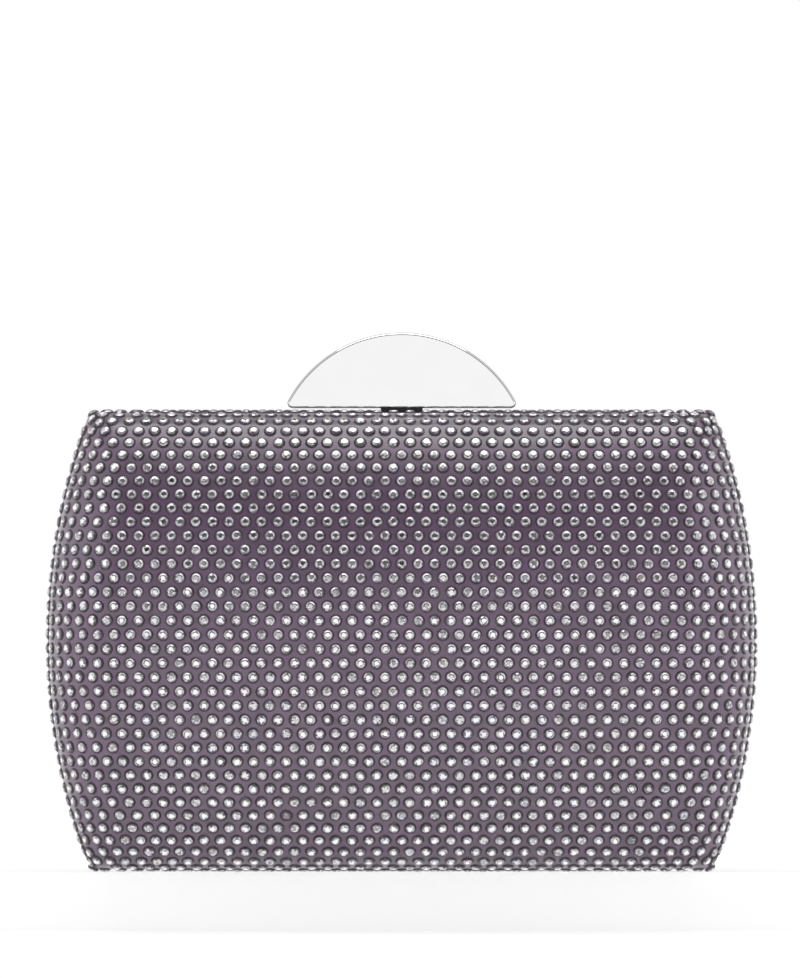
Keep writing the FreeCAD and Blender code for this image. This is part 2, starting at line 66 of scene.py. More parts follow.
# Places of the stones
STONE_DIAMETER = 2.8 * MM
STONE_PITCH = 3.91 * MM  # along a row
ROW_PITCH = 3.37 * MM
STONE_FROM_EDGE = 1.75 * MM  # middle of the first stone from the edge of the satin
EASED_RUN = 24 * MM  # a row's pitch is eased over this much of its ends, so that it ends at the edge
STONE_SETTING_ERROR = 0.1 * MM
STONE_TILT = math.radians(2.5)  # a stone may lean this far
LEAST_GAP = 0.96 * STONE_DIAMETER  # between the middles of two stones
FILL_GAP = 0.9 * STONE_DIAMETER  # the same at the corners, where stones lean apart
CORNER_FILL = 16 * MM  # stones are fitted into bare places this near to a corner
FILL_STEP = 0.4 * MM
SETTING_ROUND = 3 * MM  # the satin turns over the edge of the dome softly, and stones there lean with it
PLACE_SEED, TURN_SEED = 7, 11

# Cut of a stone
STONE_SIDES = 10
STONE_HEIGHT = 0.7 * MM
STAR_HEIGHT = 0.64 * MM
GIRDLE_HEIGHT = 0.42 * MM
TABLE_SHARE = 0.37  # radius of the table, of the star facets and of the main facets, over the stone's own
STAR_SHARE = 0.54
CROWN_SHARE = 0.79
GLUE_SHADOW_SHARE = 1.13  # the dark ring of glue round a stone, darkened also as a painted contact shadow, reaches this far out
GLUE_RISE = 0.2  # height of the glue, over the girdle's
FACET_GAP = 0.005 * MM  # corners of facets that are nearer than this are one

# Painted light of a stone, as shares of the foil's colour in its base colour: the table painted bright as a
# highlight, the star and main facets greyer, and the girdle painted dark as shade
TABLE_PAINTED_LIGHT, STAR_PAINTED_LIGHT, MAIN_PAINTED_LIGHT, GIRDLE_PAINTED_SHADE = 1.7, 0.95, 0.52, 0.045
FACET_LEAST, FACET_SPREAD = 0.2, 1.1  # a facet's own random painted glint lies between the first and their sum
DULL_STONES = 0.006  # share of the stones whose foil has gone
DULL_LOSS = 0.5

# Slot in the satin of the rear half that the stem of the clasp rocks in
STEM_SLOT_HALF = 5.4 * MM
STEM_SLOT_BACK = 3.42 * MM
STEM_SLOT_BOTTOM = CASE_HEIGHT - 2 * SATIN_FACE
STEM_SLOT = (STEM_SLOT_HALF, STEM_SLOT_BACK, STEM_SLOT_BOTTOM)

# Place left out of the linings for the latch
LATCH_ROOM_HALF = 11.4 * MM
LATCH_ROOM_BACK = 7.4 * MM
LATCH_ROOM_BOTTOM = 97.7 * MM
LATCH_ROOM = (LATCH_ROOM_HALF, LATCH_ROOM_BACK, LATCH_ROOM_BOTTOM)

# Slip pocket on the rear lining
POCKET_WIDTH = 88 * MM
POCKET_BOTTOM = 14 * MM
POCKET_TOP = 62 * MM
POCKET_MIDDLE = 6.65 * MM  # depth under the tops of the stones
POCKET_THICKNESS = 0.6 * MM
POCKET_CREASE = 0.15 * MM  # half the height of the small waves in the pocket
POCKET_WAVES = 70  # to a metre
HEM_DEPTH = 7 * MM
HEM_THICKNESS = 0.3 * MM
HEM_OUT = 0.55 * MM  # the hem lies this far over the middle of the pocket's cloth
HEM_FOLD = 0.45 * MM  # its fold rises this far over the pocket's top
POCKET_SEAM = 2.5 * MM  # stitches from the edge
STITCH_PITCH = 2.6 * MM
STITCH_LENGTH = 1.8 * MM
STITCH_RADIUS = 0.2 * MM
STITCH_LIFT = 0.3 * MM  # stitches lie this far over the face of the pocket
HEM_STITCH_LIFT = 0.25 * MM  # and this much farther over the hem

# Half-moon
PLATE_HALF_WIDTH = 28 * MM  # to the point that a rounded tip is cut from
PLATE_HEIGHT = 18 * MM
PLATE_THICKNESS = 3.5 * MM
PLATE_BEVEL = 0.5 * MM
PLATE_TIP_RADIUS = 1.2 * MM
PLATE_BOTTOM = 110.8 * MM
PLATE_FLAT = 0.999  # a face is flat from this share of its facing to the front or back
PLATE_SHADED_RIM = 0.8  # a face has the darker rim finish under this share: painted shade on the bevel, standing in for its darker reflection

# Fineness of the meshes
EDGE_STEPS = 10  # of a sheet, from the seam to the dome
DOME_STEPS = 120  # of a sheet, from the bottom of the dome to its top
SATIN_COLUMNS = 168
LINING_COLUMNS = 120
NOTCH_MARGIN = 4 * MM  # faces this near to a notch are cut along its sides
POCKET_COLUMNS = 60
POCKET_LINES = 36
HEM_STEPS = 4
SEAM_STEPS = 40  # of each straight row of stitches
STITCH_SEGMENTS, STITCH_RINGS = 6, 4
PLATE_TIP_STEPS = 12
PLATE_CROWN_STEPS = 120
PLATE_BEVEL_STEPS = 4

half_width = CASE_WIDTH / 2
half_depth = CASE_DEPTH / 2
middle = CASE_HEIGHT / 2
land_share = 1 - (LAND_DEPTH / half_depth) ** DOME_POWER
dome_reach = middle / land_share ** (1 / DOME_POWER)  # to where the dome's curve would meet the seam
corner_run = math.sqrt((SIDE_RADIUS - CORNER_RADIUS) ** 2 - (middle - CORNER_RADIUS) ** 2)
corner_x = half_width - SIDE_RADIUS + corner_run  # middle of a rounded corner

REAR, FRONT = 1, -1
HALVES = {"rear": REAR, "front": FRONT}


# Nodes

class Signal:
    """A socket whose value can be worked with as a number; each sum adds a Math node."""

    def __init__(self, bench, socket):
        self.bench = bench
        self.socket = socket

    def sum(self, operation, first, second):
        return self.bench.add("ShaderNodeMath", {"operation": operation}, {0: first, 1: second})

    def __add__(self, other):
        return self.sum("ADD", self, other)

    def __radd__(self, other):
        return self.sum("ADD", other, self)

    def __sub__(self, other):
        return self.sum("SUBTRACT", self, other)

    def __rsub__(self, other):
        return self.sum("SUBTRACT", other, self)

    def __mul__(self, other):
        return self.sum("MULTIPLY", self, other)

    def __rmul__(self, other):
        return self.sum("MULTIPLY", other, self)

    def __truediv__(self, other):
        return self.sum("DIVIDE", self, other)

    def at_most(self, other):
        return self.sum("MINIMUM", self, other)

    def at_least(self, other):
        return self.sum("MAXIMUM", self, other)


class Bench:
    """Adds nodes to one tree."""

    def __init__(self, tree):
        self.tree = tree

    def add(self, kind, settings=None, sockets=None, out=0):
        """A new node's output, from its settings and the values or links of its sockets."""
        node = self.tree.nodes.new(kind)
        for name, value in (settings or {}).items():
            setattr(node, name, value)
        for key, value in (sockets or {}).items():
            for item in value if isinstance(value, list) else [value]:
                if isinstance(item, Signal):
                    self.tree.links.new(item.socket, node.inputs[key])
                else:
                    node.inputs[key].default_value = item
        return Signal(self, node.outputs[out]) if node.outputs else node

    def blend(self, share, first, second):
        """A colour between two colours."""
        return self.add("ShaderNodeMix", {"data_type": "RGBA"}, {0: share, 6: first, 7: second}, 2)

    def noise(self, where, scale, detail):
        return self.add("ShaderNodeTexNoise", {}, {"Vector": where, "Scale": scale, "Detail": detail})

    def stretched(self, where, scale):
        return self.add("ShaderNodeMapping", {}, {"Vector": where, "Scale": scale})

    def place(self):
        """Where a point is on its own piece."""
        return self.add("ShaderNodeTexCoord", out="Object")

    def length(self, vector):
        return self.add("ShaderNodeVectorMath", {"operation": "LENGTH"}, {0: vector}, "Value")

    def bump(self, strength, distance, height):
        sockets = {"Strength": strength, "Distance": distance, "Height": height}
        return self.add("ShaderNodeBump", {}, sockets)


def colour(red, green, blue):
    """A colour from its screen values, 0 to 255."""
    def linear(value):
        share = value / 255
        return share / 12.92 if share <= 0.04045 else ((share + 0.055) / 1.055) ** 2.4

    return (linear(red), linear(green), linear(blue), 1.0)


WHITE = colour(255, 255, 255)


def new_finish(name):
    finish = bpy.data.materials.new(name)
    finish.use_nodes = True
    finish.node_tree.nodes.clear()
    return finish, Bench(finish.node_tree)


def surface(bench, sockets):
    """The finish's own shader, from the values and links of its sockets."""
    shader = bench.add("ShaderNodeBsdfPrincipled", {}, sockets)
    bench.add("ShaderNodeOutputMaterial", {}, {"Surface": shader})


# Finishes

def satin_finish(name, shade, light, thread, shine=1.0, sheen=0.9):
    """Woven satin on the cloth's own map: fine floats along a row, with cloudy lights and shades."""
    finish, bench = new_finish(name)
    cloth = bench.add("ShaderNodeUVMap", {"uv_map": "cloth"})
    cloud = bench.noise(cloth, 55.0, 3.0)
    floats = bench.noise(bench.stretched(cloth, (1 / thread / 9, 1 / thread, 1)), 1.0, 2.0)
    ripple = bench.noise(cloth, 420.0, 2.0)
    mottle = (cloud * 0.3 + floats * 0.3 + ripple * 0.4) * 1.7 - 0.35  # all three, with more contrast
    surface(bench, {
        "Base Color": bench.blend(mottle, colour(*shade), colour(*light)),
        "Roughness": 0.26 + floats * 0.12,
        "Specular IOR Level": shine,
        "Sheen Weight": sheen,
        "Sheen Roughness": 0.4,
        "Normal": bench.bump(0.25, 0.08 * MM, floats * 0.5 + ripple),
    })
    return finish


def stone_finish():
    """Foil-backed crystal with painted light: each ring of facets has its own painted light, a painted
    highlight on the table and painted shade on the girdle; each facet has a random painted glint, and stones
    differ.
    """
    finish, bench = new_finish("crystal")

    def carried(name):
        """A value that the stones' mesh carries."""
        return bench.add("ShaderNodeAttribute", {"attribute_name": name}, out="Fac")

    # cut: the painted light of the facet's ring, which also sets its metal and roughness
    glint, cut, dull, tint = carried("glint"), carried("cut"), carried("dull"), carried("tint")
    # tone: the ring's painted light times the facet's random painted glint, less for a dull stone
    tone = cut * (FACET_LEAST + glint * FACET_SPREAD) * (1 - dull * DULL_LOSS)
    foil = bench.blend(tint, colour(245, 245, 252), colour(251, 247, 248))
    surface(bench, {
        # from painted shade on the girdle up to the foil's colour on the painted-bright table
        "Base Color": bench.blend(tone.at_most(1.0), colour(38, 27, 38), foil),
        "Metallic": (cut * 3).at_most(0.95),
        "Roughness": (0.55 - cut * 0.45).at_least(0.05),
    })
    return finish


def metal_finish(name, shade, light, rough, grain):
    """Plated metal with a faint grain along X and cloudy handling marks."""
    finish, bench = new_finish(name)
    place = bench.place()
    lines = bench.noise(bench.stretched(place, (grain / 12, grain, grain)), 1.0, 2.0)
    cloud = bench.noise(place, 160.0, 2.0)
    surface(bench, {
        "Base Color": bench.blend(cloud, colour(*shade), colour(*light)),
        "Metallic": 1.0,
        "Roughness": rough + lines * rough * 0.5 + cloud * rough * 0.4,
        "Normal": bench.bump(0.06, 0.02 * MM, lines),
    })
    return finish


def board_finish():
    """Moulded shell, matt, with a fine pressed grain."""
    finish, bench = new_finish("shell_board")
    grain = bench.noise(bench.place(), 900.0, 3.0)
    surface(bench, {
        "Base Color": bench.blend(grain, colour(70, 68, 71), colour(92, 89, 92)),
        "Roughness": 0.7 + grain * 0.2,
        "Normal": bench.bump(0.3, 0.05 * MM, grain),
    })
    return finish


def thread_finish():
    """Sewing thread, with its twist."""
    finish, bench = new_finish("thread")
    twist = bench.noise(bench.place(), 5000.0, 1.0)
    surface(bench, {
        "Base Color": bench.blend(twist, colour(150, 138, 150), colour(186, 174, 186)),
        "Roughness": 0.6 + twist * 0.2,
    })
    return finish


case_satin = satin_finish("case_satin", (46, 28, 48), (85, 61, 88), thread=0.22 * MM)
lining_satin = satin_finish("lining_satin", (116, 104, 117), (146, 133, 147), thread=0.2 * MM)
crystal = stone_finish()
# Dark ring round each stone: glue, and a painted contact shadow where the stone meets the satin
glue_and_painted_shadow = satin_finish("glue_and_painted_shadow", (26, 15, 26), (40, 27, 40), thread=0.3 * MM, shine=0.3, sheen=0.1)
mirror_silver = metal_finish("mirror_silver", (242, 242, 242), (248, 248, 248), rough=0.03, grain=2500.0)
# Darker silver on the half-moon's bevel: painted shade standing in for the dark outline that its reflection
# gives
silver_rim_painted_shade = metal_finish("silver_rim_painted_shade", (116, 114, 114), (142, 140, 140), rough=0.14, grain=2500.0)
nickel = metal_finish("polished_nickel", (196, 194, 196), (222, 220, 221), rough=0.12, grain=3000.0)
bright_steel = metal_finish("bright_steel", (150, 149, 153), (190, 189, 192), rough=0.24, grain=4000.0)
# Dark steel for the clasp's lever: its darkness is painted shade, for the shadow under the half-moon
dark_steel_painted_shade = metal_finish("dark_steel_painted_shade", (52, 51, 54), (84, 82, 86), rough=0.3, grain=4000.0)
blued_spring = metal_finish("blued_spring", (84, 88, 104), (124, 126, 140), rough=0.26, grain=4000.0)
shell_board = board_finish()
lining_thread = thread_finish()


# Shape of the case

class Section:
    """Level cut through a layer of a half: a bowed face between two round ends, measured along itself."""

    def __init__(self, z, inset):
        share = min(1.0, abs(z - middle) / (dome_reach - inset))
        self.depth = (half_depth - inset) * (1 - share**DOME_POWER) ** (1 / DOME_POWER)
        sag = SIDE_RADIUS - math.sqrt(SIDE_RADIUS**2 - (z - middle) ** 2)
        self.end_radius = self.depth * (1 - FACE_BOW / half_depth)
        self.end_centre = half_width - sag - inset - self.end_radius
        rise = self.depth - self.end_radius
        self.face_radius = (self.end_centre**2 + self.depth**2 - self.end_radius**2) / (2 * rise)
        self.turn = math.atan2(self.face_radius - self.depth, self.end_centre)
        self.face_half = self.face_radius * (math.pi / 2 - self.turn)
        last = math.asin(CLOTH_EDGE / self.end_radius)
        self.half_length = self.face_half + self.end_radius * (self.turn - last)

    def point(self, along):
        """x and y at a distance from the middle of the face."""
        reach = abs(along)
        if reach <= self.face_half:
            angle = reach / self.face_radius
            x = self.face_radius * math.sin(angle)
            y = self.depth - self.face_radius * (1 - math.cos(angle))
        else:
            angle = self.turn - (reach - self.face_half) / self.end_radius
            x = self.end_centre + self.end_radius * math.cos(angle)
            y = self.end_radius * math.sin(angle)
        return math.copysign(x, along), y

    def depth_at(self, x):
        """y at a distance from the middle of the case, on the bowed face."""
        return self.depth - self.face_radius + math.sqrt(self.face_radius**2 - x**2)


def round_corner(x, z, inset):
    """Brings a point of a layer in to the rounded corner of the front view."""
    reach = CORNER_RADIUS - inset
    across = abs(x) - corner_x
    down = abs(z - middle) - (middle - CORNER_RADIUS)
    far = math.hypot(across, down)
    if reach <= 0 or across <= 0 or down <= 0 or far <= reach:
        return x, z
    x = math.copysign(corner_x + across * reach / far, x)
    z = middle + math.copysign(middle - CORNER_RADIUS + down * reach / far, z - middle)
    return x, z


class Level:
    """One row across a layer of a half: on the dome, or on the flat top or bottom beside the seam."""

    def __init__(self, z, inset, land=1.0):
        self.z = z
        self.inset = inset
        self.land = land  # 0 at the edge of the cloth by the seam, 1 where the dome begins
        self.section = Section(z, inset)
        self.half_length = self.section.half_length

    def point(self, along, half):
        x, y = self.section.point(along)
        y = CLOTH_EDGE + (y - CLOTH_EDGE) * self.land
        x, z = round_corner(x, self.z, self.inset)
        return Vector((x, half * y, z))


def edge_levels(inset, rounded, height):
    """Levels from the seam over the flat to the dome, with height giving z at a distance from the flat."""
    flat_depth = Section(height(0), inset).depth
    dome_depth = Section(height(rounded), inset).depth
    levels = []
    for step in range(EDGE_STEPS):
        share = step / EDGE_STEPS
        z = height(rounded * share**2)
        y = (1 - share) ** 2 * CLOTH_EDGE + 2 * share * (1 - share) * flat_depth + share**2 * dome_depth
        levels.append(Level(z, inset, (y - CLOTH_EDGE) / (Section(z, inset).depth - CLOTH_EDGE)))
    return levels


def profile(inset, rounded=0.0):
    """Levels from the seam at the bottom to the seam at the top, with their distance along the middle."""
    levels = edge_levels(inset, rounded, lambda distance: inset + distance)
    for step in range(DOME_STEPS + 1):
        angle = math.pi * (step / DOME_STEPS - 0.5)
        levels.append(Level(middle + (middle - inset - rounded) * math.sin(angle), inset))
    levels += edge_levels(inset, rounded, lambda distance: CASE_HEIGHT - inset - distance)[::-1]
    run = 0.0
    runs = [run]
    for first, second in zip(levels, levels[1:]):
        run += (second.point(0, REAR) - first.point(0, REAR)).length
        runs.append(run)
    return levels, runs


def level_at(levels, runs, run):
    """The row at a distance along the middle of the case."""
    number = max(i for i, start in enumerate(runs[:-1]) if start <= run)
    share = (run - runs[number]) / (runs[number + 1] - runs[number])
    first, second = levels[number], levels[number + 1]
    z = first.z + (second.z - first.z) * share
    return Level(z, first.inset, first.land + (second.land - first.land) * share)


# Pieces

def add_object(name, data):
    piece = bpy.data.objects.new(name, data)
    bpy.context.scene.collection.objects.link(piece)
    return piece


def frozen(name, source):
    """A plain piece, from what the source's modifiers make of it."""
    depsgraph = bpy.context.evaluated_depsgraph_get()
    mesh = bpy.data.meshes.new_from_object(source.evaluated_get(depsgraph))
    bpy.data.objects.remove(source)
    return add_object(name, mesh)


def take_notch(bm, reach, back, bottom):
    """Takes out of a sheet what lies within reach of the middle, nearer the seam than back, over bottom."""
    planes = [((-reach, 0, 0), (1, 0, 0)), ((reach, 0, 0), (1, 0, 0)), ((0, 0, bottom), (0, 0, 1))]
    planes += [((0, back, 0), (0, 1, 0)), ((0, -back, 0), (0, 1, 0))]
    for place, facing in planes:
        near = []
        for face in bm.faces:
            centre = face.calc_center_median()
            if centre.z > bottom - NOTCH_MARGIN and abs(centre.x) < reach + NOTCH_MARGIN:
                near.append(face)
        edges = dict.fromkeys(edge for face in near for edge in face.edges)
        corners = dict.fromkeys(corner for face in near for corner in face.verts)
        bmesh.ops.bisect_plane(bm, geom=[*near, *edges, *corners], plane_co=place, plane_no=facing)
    inside = []
    for face in bm.faces:
        centre = face.calc_center_median()
        if abs(centre.x) < reach and abs(centre.y) < back and centre.z > bottom:
            inside.append(face)
    bmesh.ops.delete(bm, geom=inside, context="FACES")


def cloth_mesh(name, rows, half, finish, notch=None):
    """A sheet through rows of (point, map place), facing out of its half, less its notch."""
    bm = bmesh.new()
    cloth = bm.loops.layers.uv.new("cloth")
    grid = [[bm.verts.new(point) for point, place in row] for row in rows]
    places = {grid[i][j]: row[j][1] for i, row in enumerate(rows) for j in range(len(row))}
    for low, high in zip(grid, grid[1:]):
        for j in range(len(low) - 1):
            corners = [low[j], low[j + 1], high[j + 1], high[j]]
            face = bm.faces.new(corners if half == FRONT else corners[::-1])
            face.smooth = True
            for loop in face.loops:
                loop[cloth].uv = places[loop.vert]
    if notch:
        take_notch(bm, *notch)
    mesh = bpy.data.meshes.new(name)
    mesh.materials.append(finish)
    bm.to_mesh(mesh)
    bm.free()
    return mesh


def finished_sheet(name, mesh, thickness, offset):
    """A sheet with its thickness: offset is 0 about the mesh, or -1 on the inside of it."""
    sheet = add_object(name + "_flat", mesh)
    wall = sheet.modifiers.new("thickness", "SOLIDIFY")
    wall.thickness = thickness
    wall.offset = offset
    return frozen(name, sheet)


def flat_size(layer):
    """Width of a layer along its widest row, and length along its middle."""
    levels, runs = layer
    return 2 * max(level.half_length for level in levels), runs[-1]


def case_rows(layer, half, columns, crease):
    """Points over a whole half, with crease the height of the small waves in its cloth."""
    levels, runs = layer
    rows = []
    for level, run in zip(levels, runs):
        row = []
        for number in range(columns + 1):
            along = level.half_length * (2 * number / columns - 1)
            point = level.point(along, half)
            if crease:
                point.y -= half * crease * (1 + noise.noise(point * LINING_WAVES)) / 2
            row.append((point, (along, run)))
        rows.append(row)
    return rows


def make_satin(body, half):
    layer = profile(SATIN_FACE, SATIN_ROUND)
    rows = case_rows(layer, half, SATIN_COLUMNS, 0)
    notch = STEM_SLOT if half == REAR else None
    mesh = cloth_mesh(body + "_satin", rows, half, case_satin, notch)
    satin = finished_sheet(body + "_satin", mesh, SATIN_THICKNESS, -1)
    width, length = flat_size(layer)
    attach(satin, body)
    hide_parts(body + "_cover")


def make_lining(body, half):
    layer = profile(LINING_MIDDLE)
    rows = case_rows(layer, half, LINING_COLUMNS, LINING_CREASE)
    mesh = cloth_mesh(body + "_lining_cloth", rows, half, lining_satin, LATCH_ROOM)
    lining = finished_sheet(body + "_lining_cloth", mesh, LINING_THICKNESS, 0)
    width, length = flat_size(layer)
    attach(lining, body)
    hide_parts(body + "_lining")


# Stones

def row_places(level, row):
    """Places along a row for its stones, every other row with one in the middle."""
    reach = level.half_length - STONE_FROM_EDGE
    first = row % 2 * STONE_PITCH / 2
    even_gaps = math.floor((reach - EASED_RUN - first) / STONE_PITCH)
    places = [first + number * STONE_PITCH for number in range(even_gaps + 1)]
    left = reach - places[-1]
    gaps = round(left / STONE_PITCH)
    places += [reach - left * number / gaps for number in range(gaps)]
    return sorted({-place for place in places} | set(places))


def stone_places(half):
    """Middle of each stone, the way it faces, whether it is dull and its tint."""
    pick = random.Random(PLACE_SEED + half)
    levels, runs = profile(SATIN_FACE, SATIN_ROUND)
    steps = [(i, j, k) for i in (-1, 0, 1) for j in (-1, 0, 1) for k in (-1, 0, 1)]
    taken = {}
    places = []

    def set_stone(run, along, error, least_gap):
        """Sets a stone, unless another stone or the stem of the clasp is in its way."""
        level = level_at(levels, runs, run)
        along += pick.uniform(-1, 1) * error
        spot = level.point(along, half)
        spot.z += pick.uniform(-0.5, 0.5) * error * (level.land == 1)
        by_stem = abs(spot.x) < STEM_SLOT_HALF + STONE_DIAMETER / 2 and spot.z > middle
        if half == REAR and by_stem and spot.y < STEM_SLOT_BACK + STONE_DIAMETER / 2:
            return
        cell = [int(value // STONE_DIAMETER) for value in spot]
        others = [taken.get(tuple(c + s for c, s in zip(cell, step)), []) for step in steps]
        if any((other - spot).length < least_gap for group in others for other in group):
            return
        taken.setdefault(tuple(cell), []).append(spot)
        below = level_at(levels, runs, max(run - SETTING_ROUND, 0))
        above = level_at(levels, runs, min(run + SETTING_ROUND, runs[-1]))
        share = along / level.half_length
        across = level.point(along + SETTING_ROUND / 4, half) - level.point(along - SETTING_ROUND / 4, half)
        up = above.point(share * above.half_length, half) - below.point(share * below.half_length, half)
        facing = across.cross(up).normalized() * -half
        places.append((spot, facing, float(pick.random() < DULL_STONES), pick.random()))

    span = runs[-1] - 2 * STONE_FROM_EDGE
    count = round(span / ROW_PITCH)
    rows = [(row, STONE_FROM_EDGE + span * row / count) for row in range(count + 1)]
    rows.sort(key=lambda item: min(item[1], runs[-1] - item[1]))  # from both edges to the middle
    for row, run in rows:
        for along in row_places(level_at(levels, runs, run), row + (half == REAR)):
            set_stone(run, along, STONE_SETTING_ERROR, LEAST_GAP)
    fill_steps = round(CORNER_FILL / FILL_STEP)
    for step in range(fill_steps):
        from_edge = STONE_FROM_EDGE + step * FILL_STEP
        for run in (from_edge, runs[-1] - from_edge):
            reach = level_at(levels, runs, run).half_length - STONE_FROM_EDGE
            for number in range(fill_steps):
                for side in (-1, 1):
                    set_stone(run, side * (reach - number * FILL_STEP), 0, FILL_GAP)
    return places


def point_mesh(name, places):
    """A mesh of bare points, each with the way it faces, whether it is dull and its tint."""
    mesh = bpy.data.meshes.new(name)
    spots, facings, dulls, tints = zip(*places)
    mesh.from_pydata(spots, [], [])
    vectors = mesh.attributes.new("facing", "FLOAT_VECTOR", "POINT")
    vectors.data.foreach_set("vector", [value for facing in facings for value in facing])
    for label, values in (("dull", dulls), ("tint", tints)):
        mesh.attributes.new(label, "FLOAT", "POINT").data.foreach_set("value", values)
    return mesh


def new_tree(name, inputs):
    """A geometry tree with named inputs, its bench, and the signals of its inputs by name."""
    tree = bpy.data.node_groups.new(name, "GeometryNodeTree")
    tree.interface.new_socket("Geometry", in_out="INPUT", socket_type="NodeSocketGeometry")
    tree.interface.new_socket("Geometry", in_out="OUTPUT", socket_type="NodeSocketGeometry")
    for label, kind in inputs.items():
        tree.interface.new_socket(label, in_out="INPUT", socket_type="NodeSocket" + kind)
    bench = Bench(tree)
    entry = tree.nodes.new("NodeGroupInput")
    signals = {socket.name: Signal(bench, socket) for socket in entry.outputs if socket.name}
    return tree, bench, signals


def close_tree(bench, geometry):
    exit_node = bench.tree.nodes.new("NodeGroupOutput")
    bench.tree.links.new(geometry.socket, exit_node.inputs["Geometry"])


def stone_tree():
    """Sets a cut stone on every point: a table, a ring of star facets, main facets and a steep girdle."""
    tree, bench, given = new_tree("set_stones", {
        "Diameter": "Float", "Height": "Float", "Star Height": "Float", "Girdle Height": "Float",
        "Table Share": "Float", "Star Share": "Float", "Crown Share": "Float",
        "Glue Share": "Float", "Sides": "Int", "Tilt": "Float", "Seed": "Int",
        "Crystal": "Material", "Glue": "Material",
    })
    height, star_height, girdle_height = given["Height"], given["Star Height"], given["Girdle Height"]
    sides, tilt, seed = given["Sides"], given["Tilt"], given["Seed"]
    radius = given["Diameter"] / 2
    table = radius * given["Table Share"]
    star = radius * given["Star Share"]
    crown = radius * given["Crown Share"]

    def marked(shape, name, value):
        """A shape whose facets carry a value."""
        settings = {"data_type": "FLOAT", "domain": "FACE"}
        sockets = {"Geometry": shape, "Name": name, "Value": value}
        return bench.add("GeometryNodeStoreNamedAttribute", settings, sockets)

    def facets(shape, bottom, light):
        """A ring or disc of facets at its height, with its share of painted light: bright on the table as a
        painted highlight, dark on the girdle as painted shade.
        """
        lift = bench.add("ShaderNodeCombineXYZ", {}, {"Z": bottom})
        shape = bench.add("GeometryNodeTransform", {}, {"Geometry": shape, "Translation": lift})
        return marked(shape, "cut", light)

    def ring(outer, inner, rise):
        sockets = {"Vertices": sides, "Radius Top": inner, "Radius Bottom": outer, "Depth": rise}
        return bench.add("GeometryNodeMeshCone", {"fill_type": "NONE"}, sockets)

    def finished(shape, finish):
        return bench.add("GeometryNodeSetMaterial", {}, {"Geometry": shape, "Material": finish})

    disc_sockets = {"Vertices": sides, "Radius": table}
    disc = bench.add("GeometryNodeMeshCircle", {"fill_type": "NGON"}, disc_sockets)
    stone = bench.add("GeometryNodeJoinGeometry", {}, {"Geometry": [
        # the girdle is painted dark as shade and the table painted bright as a highlight
        facets(ring(radius, crown, girdle_height), 0.0, GIRDLE_PAINTED_SHADE),
        facets(ring(crown, star, star_height - girdle_height), girdle_height, MAIN_PAINTED_LIGHT),
        facets(ring(star, table, height - star_height), star_height, STAR_PAINTED_LIGHT),
        facets(disc, height, TABLE_PAINTED_LIGHT),
    ]})
    stone = bench.add("GeometryNodeMergeByDistance", {}, {"Geometry": stone, "Distance": FACET_GAP})
    stone = finished(stone, given["Crystal"])
    # the glue ring is darkened as a painted contact shadow round the stone
    glue = finished(ring(radius * given["Glue Share"], radius, girdle_height * GLUE_RISE), given["Glue"])
    stone = bench.add("GeometryNodeJoinGeometry", {}, {"Geometry": [stone, glue]})
    stone = bench.add("GeometryNodeSetShadeSmooth", {}, {"Geometry": stone, "Shade Smooth": False})

    facing = bench.add("GeometryNodeInputNamedAttribute", {"data_type": "FLOAT_VECTOR"}, {"Name": "facing"})
    upright = bench.add("FunctionNodeAlignRotationToVector", {"axis": "Z"}, {"Vector": facing})
    least = bench.add("ShaderNodeCombineXYZ", {}, {"X": 0 - tilt, "Y": 0 - tilt, "Z": 0.0})
    most = bench.add("ShaderNodeCombineXYZ", {}, {"X": tilt, "Y": tilt, "Z": math.tau})
    turn_sockets = {0: least, 1: most, "Seed": seed}
    turn = bench.add("FunctionNodeRandomValue", {"data_type": "FLOAT_VECTOR"}, turn_sockets)
    turn = bench.add("FunctionNodeEulerToRotation", {}, {"Euler": turn})
    turned_sockets = {"Rotation": upright, "Rotate By": turn}
    turned = bench.add("FunctionNodeRotateRotation", {"rotation_space": "LOCAL"}, turned_sockets)
    stones = bench.add("GeometryNodeInstanceOnPoints", {}, {
        "Points": given["Geometry"], "Instance": stone, "Rotation": turned,
    })
    stones = bench.add("GeometryNodeRealizeInstances", {}, {"Geometry": stones})
    # glint: a random painted glint for each facet
    glint_sockets = {2: 0.0, 3: 1.0, "Seed": seed}
    glint = bench.add("FunctionNodeRandomValue", {"data_type": "FLOAT"}, glint_sockets, 1)
    close_tree(bench, marked(stones, "glint", glint))
    return tree


def grown(name, mesh, tree, values):
    """What a geometry tree makes of a mesh, as a plain piece."""
    source = add_object(name + "_places", mesh)
    modifier = source.modifiers.new("grow", "NODES")
    modifier.node_group = tree
    for item in tree.interface.items_tree:
        if item.in_out == "INPUT" and item.name in values:
            modifier[item.identifier] = values[item.name]
    return frozen(name, source)


def make_stones(body, half, tree):
    mesh = point_mesh(body + "_stone_places", stone_places(half))
    stones = grown(body + "_stones", mesh, tree, {
        "Diameter": STONE_DIAMETER, "Height": STONE_HEIGHT, "Star Height": STAR_HEIGHT,
        "Girdle Height": GIRDLE_HEIGHT, "Table Share": TABLE_SHARE, "Star Share": STAR_SHARE,
        "Crown Share": CROWN_SHARE, "Glue Share": GLUE_SHADOW_SHARE, "Sides": STONE_SIDES,
        "Tilt": STONE_TILT, "Seed": TURN_SEED + half, "Crystal": crystal, "Glue": glue_and_painted_shadow,
    })
    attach(stones, body)


# Slip pocket

def pocket_point(x, z, inset):
    """The point of a layer of the rear half that lies at x and z."""
    return Vector((x, Section(z, inset).depth_at(x), z))


def pocket_columns():
    return [POCKET_WIDTH * (column / POCKET_COLUMNS - 0.5) for column in range(POCKET_COLUMNS + 1)]


